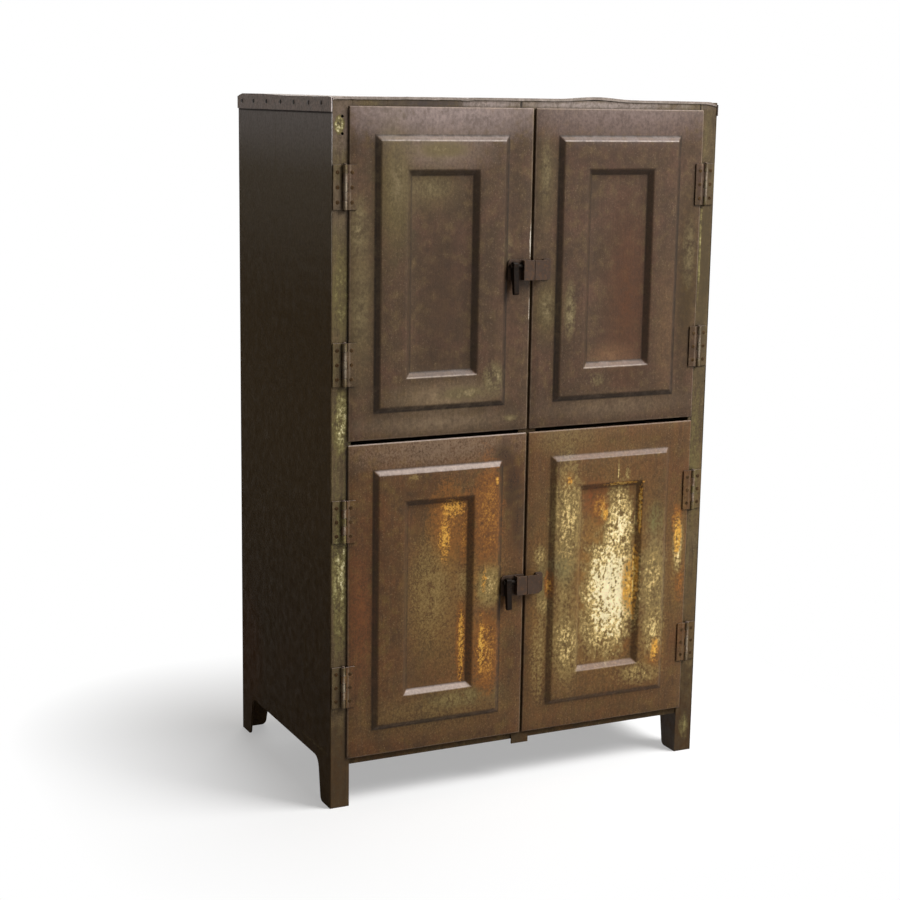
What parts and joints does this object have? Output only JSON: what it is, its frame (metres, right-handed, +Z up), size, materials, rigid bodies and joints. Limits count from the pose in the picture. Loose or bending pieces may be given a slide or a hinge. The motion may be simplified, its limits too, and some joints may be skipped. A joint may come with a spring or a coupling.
{
  "type": "metal cabinet",
  "caption": "Tall painted sheet-steel cabinet on tapered feet, with paired pressed panel doors on butt hinges, sliding bolt latches and inner shelves.",
  "frame": {"origin": "middle of the overall footprint, on the floor", "axes": "+X to the right seen from the front, +Y towards the back, +Z up"},
  "size_m": [0.9176, 0.5888, 1.5],
  "materials": {
    "frame_paint": "worn satin",
    "side_paint": "worn satin",
    "inner_paint": "matt",
    "door_paint": "worn satin",
    "hinge_steel": "worn satin",
    "latch_steel": "worn satin"
  },
  "bodies": {
    "carcass": {"front_left_post": "frame_paint", "front_right_post": "frame_paint", "rear_left_post": "frame_paint", "rear_right_post": "frame_paint", "left_side_panel": "side_paint", "right_side_panel": "side_paint", "back_panel": "side_paint", "top_panel": "frame_paint", "bottom_panel": "inner_paint", "top_rail": "frame_paint", "middle_rail": "frame_paint", "bottom_rail": "frame_paint", "centre_mullion": "frame_paint", "middle_shelf": "inner_paint", "upper_shelf": "inner_paint", "lower_shelf": "inner_paint", "lower_left_cleat": "frame_paint", "lower_right_cleat": "frame_paint", "upper_left_cleat": "frame_paint", "upper_right_cleat": "frame_paint", "lower_left_bottom_frame_leaf": "hinge_steel", "lower_left_bottom_hinge_pin": "hinge_steel", "lower_left_top_frame_leaf": "hinge_steel", "lower_left_top_hinge_pin": "hinge_steel", "lower_right_bottom_frame_leaf": "hinge_steel", "lower_right_bottom_hinge_pin": "hinge_steel", "lower_right_top_frame_leaf": "hinge_steel", "lower_right_top_hinge_pin": "hinge_steel", "upper_left_bottom_frame_leaf": "hinge_steel", "upper_left_bottom_hinge_pin": "hinge_steel", "upper_left_top_frame_leaf": "hinge_steel", "upper_left_top_hinge_pin": "hinge_steel", "upper_right_bottom_frame_leaf": "hinge_steel", "upper_right_bottom_hinge_pin": "hinge_steel", "upper_right_top_frame_leaf": "hinge_steel", "upper_right_top_hinge_pin": "hinge_steel"},
    "lower_left_door": {"lower_left_door_skin": "door_paint", "lower_left_door_backing": "inner_paint", "lower_left_bottom_door_leaf": "hinge_steel", "lower_left_top_door_leaf": "hinge_steel", "lower_latch_plate": "latch_steel"},
    "lower_right_door": {"lower_right_door_skin": "door_paint", "lower_right_door_backing": "inner_paint", "lower_right_bottom_door_leaf": "hinge_steel", "lower_right_top_door_leaf": "hinge_steel", "lower_latch_keeper": "latch_steel"},
    "upper_left_door": {"upper_left_door_skin": "door_paint", "upper_left_door_backing": "inner_paint", "upper_left_bottom_door_leaf": "hinge_steel", "upper_left_top_door_leaf": "hinge_steel", "upper_latch_plate": "latch_steel"},
    "upper_right_door": {"upper_right_door_skin": "door_paint", "upper_right_door_backing": "inner_paint", "upper_right_bottom_door_leaf": "hinge_steel", "upper_right_top_door_leaf": "hinge_steel", "upper_latch_keeper": "latch_steel"},
    "lower_bolt": {"lower_latch_bolt": "latch_steel", "lower_latch_lever": "latch_steel"},
    "upper_bolt": {"upper_latch_bolt": "latch_steel", "upper_latch_lever": "latch_steel"}
  },
  "joints": [
    {"name": "lower_left_door_hinge", "type": "hinge", "parent": "carcass", "child": "lower_left_door", "pos_m": [-0.43, -0.27255, 0.45025], "axis": [0, 0, -1], "range_deg": [0, 170]},
    {"name": "lower_right_door_hinge", "type": "hinge", "parent": "carcass", "child": "lower_right_door", "pos_m": [0.43, -0.27255, 0.45025], "axis": [0, 0, 1], "range_deg": [0, 170]},
    {"name": "upper_left_door_hinge", "type": "hinge", "parent": "carcass", "child": "upper_left_door", "pos_m": [-0.43, -0.27255, 1.14075], "axis": [0, 0, -1], "range_deg": [0, 170]},
    {"name": "upper_right_door_hinge", "type": "hinge", "parent": "carcass", "child": "upper_right_door", "pos_m": [0.43, -0.27255, 1.14075], "axis": [0, 0, 1], "range_deg": [0, 170]},
    {"name": "lower_bolt_slide", "type": "slide", "parent": "lower_left_door", "child": "lower_bolt", "axis": [1, 0, 0], "range_m": [0, 0.013]},
    {"name": "upper_bolt_slide", "type": "slide", "parent": "upper_left_door", "child": "upper_bolt", "axis": [1, 0, 0], "range_m": [0, 0.013]}
  ]
}
